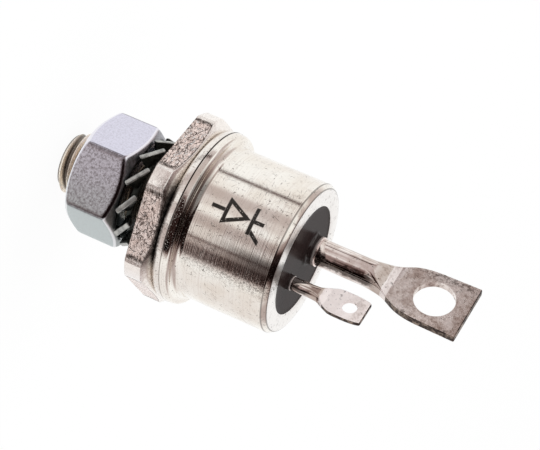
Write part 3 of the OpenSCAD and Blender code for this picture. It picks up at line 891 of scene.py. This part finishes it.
def lug_sections(lug):
    """Sections of a pin from its tail to its tip: (height, half width, half thickness, corner radius)."""
    pin_r = lug["pin_r"]
    half_t = lug["thick"] / 2
    length = lug["length"]
    foot = lug["tip"] - length
    press = lug["press"]
    side = [(pin_r, press[0][0]), (lug["foot_w"] / 2, 0.0)]
    for curve in lug["outline"]:
        points = [(share * lug["width"] / 2, at) for share, at in curve]
        side += cubic(side[-1], *points, OUTLINE_STEPS)
    widths = [(at, half_w) for half_w, at in side]
    rows = [(PIN_END_Z, pin_r, pin_r, pin_r)]
    for at in sorted({at for at, _ in widths + press}):
        share = max(between(press, at), 0.0)
        thick = half_t + (pin_r - half_t) * share
        corner = EDGE_R + (thick - EDGE_R) * share ** PRESS_ROUND
        rows.append((foot + at * length, between(widths, at), thick, corner))
    height, half_w, thick, corner = rows.pop()
    rows.append((height - EDGE_R, half_w, thick, corner))
    rows.append((height, half_w - EDGE_R, thick - EDGE_R, corner / 2))
    return rows


def loft(sections, spot, count):
    """Closed shell grown from section to section; spot(section, cosine, sine) places a section's points."""
    bm = bmesh.new()
    order = bm.verts.layers.int.new("order")

    def set_section(verts, section):
        for vert in verts:
            turn = (vert[order] + 0.5) * math.tau / count
            vert.co = spot(section, math.cos(turn), math.sin(turn))

    ring = bmesh.ops.create_circle(bm, segments=count, radius=1)["verts"]
    for i, vert in enumerate(ring):
        vert[order] = i
    edges = list({e for v in ring for e in v.link_edges})
    set_section(ring, sections[0])
    bmesh.ops.edgeloop_fill(bm, edges=edges)
    for section in sections[1:]:
        grown = bmesh.ops.extrude_edge_only(bm, edges=edges)["geom"]
        edges = [e for e in grown if isinstance(e, bmesh.types.BMEdge) and len(e.link_faces) == 1]
        set_section({v for e in edges for v in e.verts}, section)
    bmesh.ops.edgeloop_fill(bm, edges=edges)
    face_out(bm)
    return bm


def rounded_bar(half_w, half_t, corner, cosine, sine):
    """Point on the outline of a bar's section with rounded corners."""
    across = math.copysign(half_w - corner, cosine) + corner * cosine
    depth = math.copysign(half_t - corner, sine) + corner * sine
    return across, depth


def build_lug(name, lug, node, *materials):
    """Coined pin lofted section by section, then pierced."""

    def spot(section, cosine, sine):
        height, half_w, half_t, corner = section
        across, depth = rounded_bar(half_w, half_t, corner, cosine, sine)
        return lug["x"] + across, depth, height

    pin = loft(lug_sections(lug), spot, 4 * CORNER_STEPS)
    obj = piece(name, pin, node, "lug_nickel", *materials, crease=LUG_CREASE)
    pierce(obj, lug)
    shade_sides(obj.data, lug)


def pierce(obj, lug):
    """Punches the lug's eye and breaks its edges."""
    reach = 2 * lug["thick"]
    punch = lathe([(0, -reach), (lug["eye_r"], -reach), (lug["eye_r"], reach), (0, reach)], (), EYE_STEPS)
    bmesh.ops.rotate(punch, cent=(0, 0, 0), matrix=Matrix.Rotation(math.pi / 2, 3, "X"), verts=punch.verts)
    cutter = to_object("punch", moved(punch, lug["x"], lug["tip"] - lug["eye_in"]))
    obj.modifiers.clear()
    hole = obj.modifiers.new("eye", "BOOLEAN")
    hole.object = cutter
    hole.solver = "EXACT"
    soft = obj.modifiers.new("eye_edge", "BEVEL")
    soft.limit_method = "ANGLE"
    soft.angle_limit = EYE_EDGE_ANGLE
    soft.width = EYE_EDGE * MM
    soft.segments = 2
    soft.material = -1
    bpy.context.view_layer.update()
    cut = bpy.data.meshes.new_from_object(obj.evaluated_get(bpy.context.evaluated_depsgraph_get()))
    obj.modifiers.clear()
    old = obj.data
    obj.data = cut
    cut.name = obj.name
    bpy.data.meshes.remove(old)
    bpy.data.objects.remove(cutter)
    smooth_faces(obj, LUG_CREASE)


def shade_sides(mesh, lug):
    """Gives the sheared sides and tip the second material; the eye's wall and the pin keep the first."""
    eye = Vector((lug["x"], lug["tip"] - lug["eye_in"])) * MM
    flat_z = (lug["tip"] - lug["length"] * SHEARED_SHARE) * MM
    clear = (lug["eye_r"] + EYE_CLEAR) * MM
    for face in mesh.polygons:
        away = (Vector((face.center.x, face.center.z)) - eye).length
        side = abs(face.normal.y) < SHEARED_LEAN and face.center.z > flat_z and away > clear
        face.material_index = int(side)


def power_mean(values, power):
    """Close to the largest value, with a soft change from one to another; a higher power is sharper."""
    return sum(value ** power for value in values) ** (1 / power)


def build_nut(material):
    """Zinc-plated nut: turned blank with two chamfers, six flats with soft edges and a countersunk bore."""
    near = -NUT_GAP
    far = near - NUT_T
    bore_r = STUD_R + NUT_PLAY
    mouth_r = bore_r + NUT_COUNTERSINK / 2
    depths = [NUT_T / 2 * (i / NUT_ROWS) ** NUT_ROW_EASE for i in range(NUT_ROWS + 1)]
    side = [(near - d, d) for d in depths] + [(far + d, d) for d in reversed(depths[:-1])]
    wall = [(NUT_FACE_R + d / math.tan(NUT_SLOPE), z) for z, d in side]
    bore = [(mouth_r, far), (bore_r, far + NUT_COUNTERSINK), (bore_r, near - NUT_COUNTERSINK)]
    blank = lathe([(mouth_r, near)] + wall + bore, (), 2 * LATHE_STEPS)
    facings = flat_angles(NUT_TURN)
    for vert in blank.verts:
        reach = vert.co.xy.length
        if reach < NUT_FACE_R - TOUCH:
            continue
        angle = math.atan2(vert.co.y, vert.co.x)
        holds = [max(math.cos(angle - facing), 0) / (NUT_AF / 2) for facing in facings]
        flats = power_mean(holds, NUT_EDGE_POWER)
        vert.co.xy *= 1 / power_mean([flats, 1 / reach], NUT_CHAMFER_POWER) / reach
    blank.normal_update()
    rims = [e for e in blank.edges if e.calc_face_angle() > NUT_RIM_ANGLE
            and all(v.co.xy.length > NUT_FACE_R - NUT_RIM_W for v in e.verts)]
    round_edges(blank, rims, THIN_BREAK, 2)
    merge(blank)
    piece("zinc_nut", blank, "hex_nut", "nut_zinc", material, crease=40)


def tooth_twist(share):
    """Twist of a tooth at a share of its length; it is done where the straight part ends."""
    t = min(share / TOOTH_STRAIGHT, 1)
    return TOOTH_ROOT_TWIST + (TOOTH_TWIST - TOOTH_ROOT_TWIST) * t * t * (3 - 2 * t)


def washer_tooth():
    """One tooth: a bar with rounded edges that widens and twists as it leaves the ring."""
    length = WASHER_R - TOOTH_ROOT_R
    rows = [(TOOTH_ROOT_R + length * TOOTH_STRAIGHT * i / TOOTH_SLICES, 0.0) for i in range(TOOTH_SLICES + 1)]
    for i in range(TIP_STEPS + 1):
        turn = math.pi / 2 * i / TIP_STEPS
        rows.append((WASHER_R - TOOTH_ROUND * (1 - math.sin(turn)), TOOTH_ROUND * (1 - math.cos(turn))))

    def spot(row, cosine, sine):
        reach, inset = row
        share = (reach - TOOTH_ROOT_R) / length
        half_w = (TOOTH_ROOT_W + (TOOTH_W - TOOTH_ROOT_W) * share) / 2
        corner = max(TOOTH_ROUND - inset, EDGE_R)
        across, depth = rounded_bar(half_w - inset, WASHER_T / 2 - inset, corner, cosine, sine)
        return Matrix.Rotation(-tooth_twist(share), 3, "X") @ Vector((reach, across, depth))

    bm = loft(rows, spot, 2 * CORNER_STEPS)
    for face in bm.faces:
        face.material_index = int(face.calc_center_median().x > WASHER_R - TOOTH_ROUND * WORN_SHARE)
    return bm


def build_washer(black, cut_edge):
    """External-tooth lock washer."""
    half_t = WASHER_T / 2
    corners = [(WASHER_HOLE_R, -half_t), (WASHER_RING_R, -half_t), (WASHER_RING_R, half_t),
               (WASHER_HOLE_R, half_t)]
    ring = lathe(corners, [(r, z, THIN_BREAK, 2) for r, z in corners], RING_STEPS)
    teeth = washer_tooth()
    bmesh.ops.rotate(teeth, cent=(0, 0, 0), matrix=Matrix.Rotation(WASHER_TURN, 3, "Z"), verts=teeth.verts)
    whole = teeth.verts[:] + teeth.edges[:] + teeth.faces[:]
    more = WASHER_TEETH - 1
    bmesh.ops.spin(teeth, geom=whole, cent=(0, 0, 0), axis=(0, 0, 1), angle=math.tau * more / WASHER_TEETH,
                   steps=more, use_duplicate=True)
    low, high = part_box("lock_washer")
    washer = moved(join(ring, teeth), z=(low.z + high.z) / 2 / MM)
    piece("tooth_washer", washer, "lock_washer", "washer_black", black, cut_edge)


def finish_inside():
    """Finishes of the solids sealed inside the can."""
    solder = plain_metal("solder", rgb(0.6, 0.6, 0.62), rgb(0.5, 0.5, 0.53), 0.35, 1.5)
    molybdenum = plain_metal("molybdenum", rgb(0.5, 0.5, 0.53), rgb(0.42, 0.42, 0.45), 0.4, 2.5)
    silicon = plain_metal("silicon", rgb(0.2, 0.22, 0.27), rgb(0.15, 0.17, 0.22), 0.12, 0.6)
    copper = plain_metal("copper", rgb(0.85, 0.5, 0.36), rgb(0.72, 0.4, 0.28), 0.3, 2.0)
    finishes = {
        "anode_solder": solder, "pellet_solder": solder, "cathode_solder": solder,
        "anode_disc": molybdenum, "cathode_disc": molybdenum, "silicon_pellet": silicon,
        "cathode_lead": copper, "gate_lead": copper, "edge_coating": brown_varnish(),
    }
    for node, material in finishes.items():
        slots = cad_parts[node].data.materials
        slots.clear()
        slots.append(material)


# Camera: azimuth, elevation and roll in degrees, distance in millimetres, focal length and offset in pixels
PHOTO_W = 540
SENSOR_W = 36.0
VIEW_AZ = 35.0
VIEW_EL = 17.295
VIEW_ROLL = 113.436
VIEW_DISTANCE = 200.0
VIEW_FOCAL_PX = 2111.4
TARGET = Vector((0, 0, 8.0)) * MM
TARGET_LEFT_PX = 21.7
TARGET_DOWN_PX = 11.66

# What metal mirrors, by degrees of turn from the camera and of tilt above the level. A band is start, full,
# fade, end; a strip is its middle, its half width at full and at its end; an oval is middle and half size of
# its turn, then of its tilt, and the squared shares of that size where it is full and where it ends
DIM_TURN = (-89, -86, 56, 74)
DIM_TILT = (-72, -48, 4, 16)
DIM_DEPTH = 0.42
OPEN_SIDE = (-45, -54)
LIT_STRIPS = (((-12, 3, 11), 1.0), ((-24, 5, 12), 0.45), ((21, 4, 14), 0.72))
LIT_TILT = (-13.5, -15.5)
BEHIND_TURN = (128, 148)
BEHIND_TILT = (46, 34)
UPPER_TURN = (85, 105)
UPPER_TILT = (6, 24)
SOFT_BOX = (-42, 30.0, 46, 15.81, 0.6, 1.2)
CEILING_TILT = (25, 60)
CEILING_DEPTH = 0.66
CARD_SWING = math.radians(24)
CARD_CLIMB = (-18.2, -13.5, 81, 95)
CARD_HALF_W = 0.34
CARD_WIDER = 0.29
CARD_WIDER_CLIMB = (52, 0)
CARD_LEAN = 0.0022
CARD_BLUR = 0.09
CARD_DEPTH = 0.97
LOW_CARD = (50.5, 10.25, -12, 16.73, 0.5, 1.45)
LOW_CARD_TILT = (-22.5, -16.8)
LEFT_STRIP = (-75.8, 1.8, 3.6)
LEFT_TILT = (-60, -50, -4, 4)
LEFT_DEPTH = 0.93
RIGHT_STRIP = (31, 1.0, 2.2)
RIGHT_TILT = (-60, -40, -16.5, -14)
RIGHT_DEPTH = 0.85
FAR_SIDE = (110, 15, 45)
FAR_DEPTH = 0.12

# Powers that warm the mirrored shade
GREEN_POWER = 1.24
BLUE_POWER = 1.28

# Floor and lamp
FLOOR_R = 1500
FLOOR_GAP = 0.2
FLOOR_GLOW = 0.95
LAMP_PLACE = Vector((-0.12, -0.1, 0.3))
LAMP_SIZE = 0.3
LAMP_WATTS = 0.4


def view_axes():
    """Right, up and back directions of the view, and the level directions towards its camera and aside."""
    az, el, roll = (math.radians(a) for a in (VIEW_AZ, VIEW_EL, VIEW_ROLL))
    front = Vector((math.sin(az), -math.cos(az), 0))
    level = Vector((math.cos(az), math.sin(az), 0))
    back = front * math.cos(el) + Vector((0, 0, math.sin(el)))
    upright = back.cross(level)
    right = level * math.cos(roll) + upright * math.sin(roll)
    up = upright * math.cos(roll) - level * math.sin(roll)
    return right, up, back, front, level


def place_camera():
    """Camera at the view's place, aimed a little beside the target, as the frame needs."""
    right, up, back, _, _ = view_axes()
    eye = TARGET + back * VIEW_DISTANCE * MM
    per_px = VIEW_DISTANCE / VIEW_FOCAL_PX * MM
    aim = TARGET + right * TARGET_LEFT_PX * per_px + up * TARGET_DOWN_PX * per_px
    back = (eye - aim).normalized()
    right = up.cross(back).normalized()
    up = back.cross(right)
    data = bpy.data.cameras.new("camera")
    data.sensor_width = SENSOR_W
    data.lens = VIEW_FOCAL_PX * SENSOR_W / PHOTO_W
    data.clip_start = 0.01
    data.clip_end = 10.0
    camera = bpy.data.objects.new("camera", data)
    camera.matrix_world = Matrix((right, up, back)).transposed().to_4x4()
    camera.location = eye
    bpy.context.scene.collection.objects.link(camera)
    bpy.context.scene.camera = camera


def light_path(f, ray):
    return f.node("ShaderNodeLightPath", {}, {}, ray)


def studio_world():
    """White all round; metal also mirrors a dim grey side with lit strips, a soft box and dark cards."""
    _, _, _, front, level = view_axes()
    world = bpy.data.worlds.new("studio")
    bpy.context.scene.world = world
    f = Finish(world)
    look = f.node("ShaderNodeTexCoord", {}, {}, "Generated")

    def along(direction):
        return f.node("ShaderNodeVectorMath", {"operation": "DOT_PRODUCT"}, {0: look, 1: direction}, "Value")

    def oval(turn_at, half_turn, tilt_at, half_tilt, full, end):
        aside = (turn - turn_at) / half_turn
        above = (tilt - tilt_at) / half_tilt
        return (aside * aside + above * above).step(end, full)

    rise = along((0, 0, 1))
    turn = along(level).angle(along(front))
    tilt = rise.math("ARCSINE", rise) * math.degrees(1)
    climb = rise.angle(along(front * math.cos(CARD_SWING) + level * math.sin(CARD_SWING)))
    off = along(level * math.cos(CARD_SWING) - front * math.sin(CARD_SWING))

    lit = turn.step(*OPEN_SIDE)
    for strip, strength in LIT_STRIPS:
        lit = lit.most(turn.near(*strip) * strength)
    lit = lit * tilt.step(*LIT_TILT)
    dim = turn.band(*DIM_TURN) * tilt.band(*DIM_TILT) * DIM_DEPTH * (1 - lit)
    behind = abs(turn).step(*BEHIND_TURN) * tilt.step(*BEHIND_TILT)
    upper = tilt.step(*UPPER_TILT) * abs(turn).step(*UPPER_TURN) * (1 - behind) * DIM_DEPTH
    soft_box = oval(*SOFT_BOX)
    ceiling = (tilt.step(*CEILING_TILT) * CEILING_DEPTH * (1 - soft_box)).most(upper)
    half_w = CARD_HALF_W + climb.step(*CARD_WIDER_CLIMB) * CARD_WIDER
    card = (half_w - abs(off - climb * CARD_LEAN)).step(-CARD_BLUR, CARD_BLUR) * climb.band(*CARD_CLIMB)
    low_card = oval(*LOW_CARD) * tilt.step(*LOW_CARD_TILT)
    left_strip = turn.near(*LEFT_STRIP) * tilt.band(*LEFT_TILT)
    right_strip = turn.near(*RIGHT_STRIP) * tilt.band(*RIGHT_TILT)
    far_side = turn.near(*FAR_SIDE) * FAR_DEPTH
    shade = (1 - dim) * (1 - far_side) * (1 - ceiling)
    for dark, deep in ((card, CARD_DEPTH), (low_card, CARD_DEPTH), (left_strip, LEFT_DEPTH),
                       (right_strip, RIGHT_DEPTH)):
        shade = shade * (1 - dark * deep)

    seen = 1 - light_path(f, "Is Glossy Ray") * (1 - shade)
    tint = {"Red": seen, "Green": seen ** GREEN_POWER, "Blue": seen ** BLUE_POWER}
    colour = f.node("ShaderNodeCombineColor", {}, tint)
    background = f.node("ShaderNodeBackground", {}, {"Color": colour, "Strength": 1.0})
    f.node("ShaderNodeOutputWorld", {}, {"Surface": background})


def white_floor():
    """Pale floor under the stud's tip: white to the eye, with a soft trace of shadow."""
    f = finish_named("floor_white")
    seen = light_path(f, "Is Camera Ray").most(light_path(f, "Is Transmission Ray"))
    matt = f.node("ShaderNodeBsdfDiffuse", {}, {"Color": rgb(0.85, 0.85, 0.85)})
    glow = f.node("ShaderNodeEmission", {}, {"Color": rgb(1, 1, 1), "Strength": 1.0})
    both = f.node("ShaderNodeMixShader", {}, {0: seen * FLOOR_GLOW, 1: matt, 2: glow})
    f.node("ShaderNodeOutputMaterial", {}, {"Surface": both})
    bm = bmesh.new()
    bmesh.ops.create_circle(bm, cap_ends=True, segments=RING_STEPS, radius=FLOOR_R)
    floor = to_object("floor", moved(bm, z=cad_low.z / MM - FLOOR_GAP), f.holder)
    floor.visible_glossy = False


def soft_lamp():
    """Round lamp aimed at the target; metal doesn't mirror it."""
    data = bpy.data.lights.new("top_light", "AREA")
    data.shape = "DISK"
    data.size = LAMP_SIZE
    data.energy = LAMP_WATTS
    lamp = bpy.data.objects.new("top_light", data)
    lamp.location = LAMP_PLACE
    lamp.rotation_mode = "QUATERNION"
    lamp.rotation_quaternion = (TARGET - LAMP_PLACE).to_track_quat("-Z", "Y")
    lamp.visible_glossy = False
    bpy.context.scene.collection.objects.link(lamp)


place_camera()
studio_world()
white_floor()
soft_lamp()
bpy.context.scene.view_settings.view_transform = "Standard"

lug_nickel = coined_nickel()
lug_edge = sheared_edge()

build_base(sanded_base())
build_weld_ring(ring_plate())
build_can(polished_can())
build_glass(seal_glass())
build_lug("cathode_lug", CATHODE, "cathode_terminal", lug_nickel, lug_edge)
build_lug("gate_lug", GATE, "gate_terminal", lug_nickel, lug_edge)
build_nut(zinc_plate())
build_washer(black_oxide(), worn_cut_edge())
finish_inside()
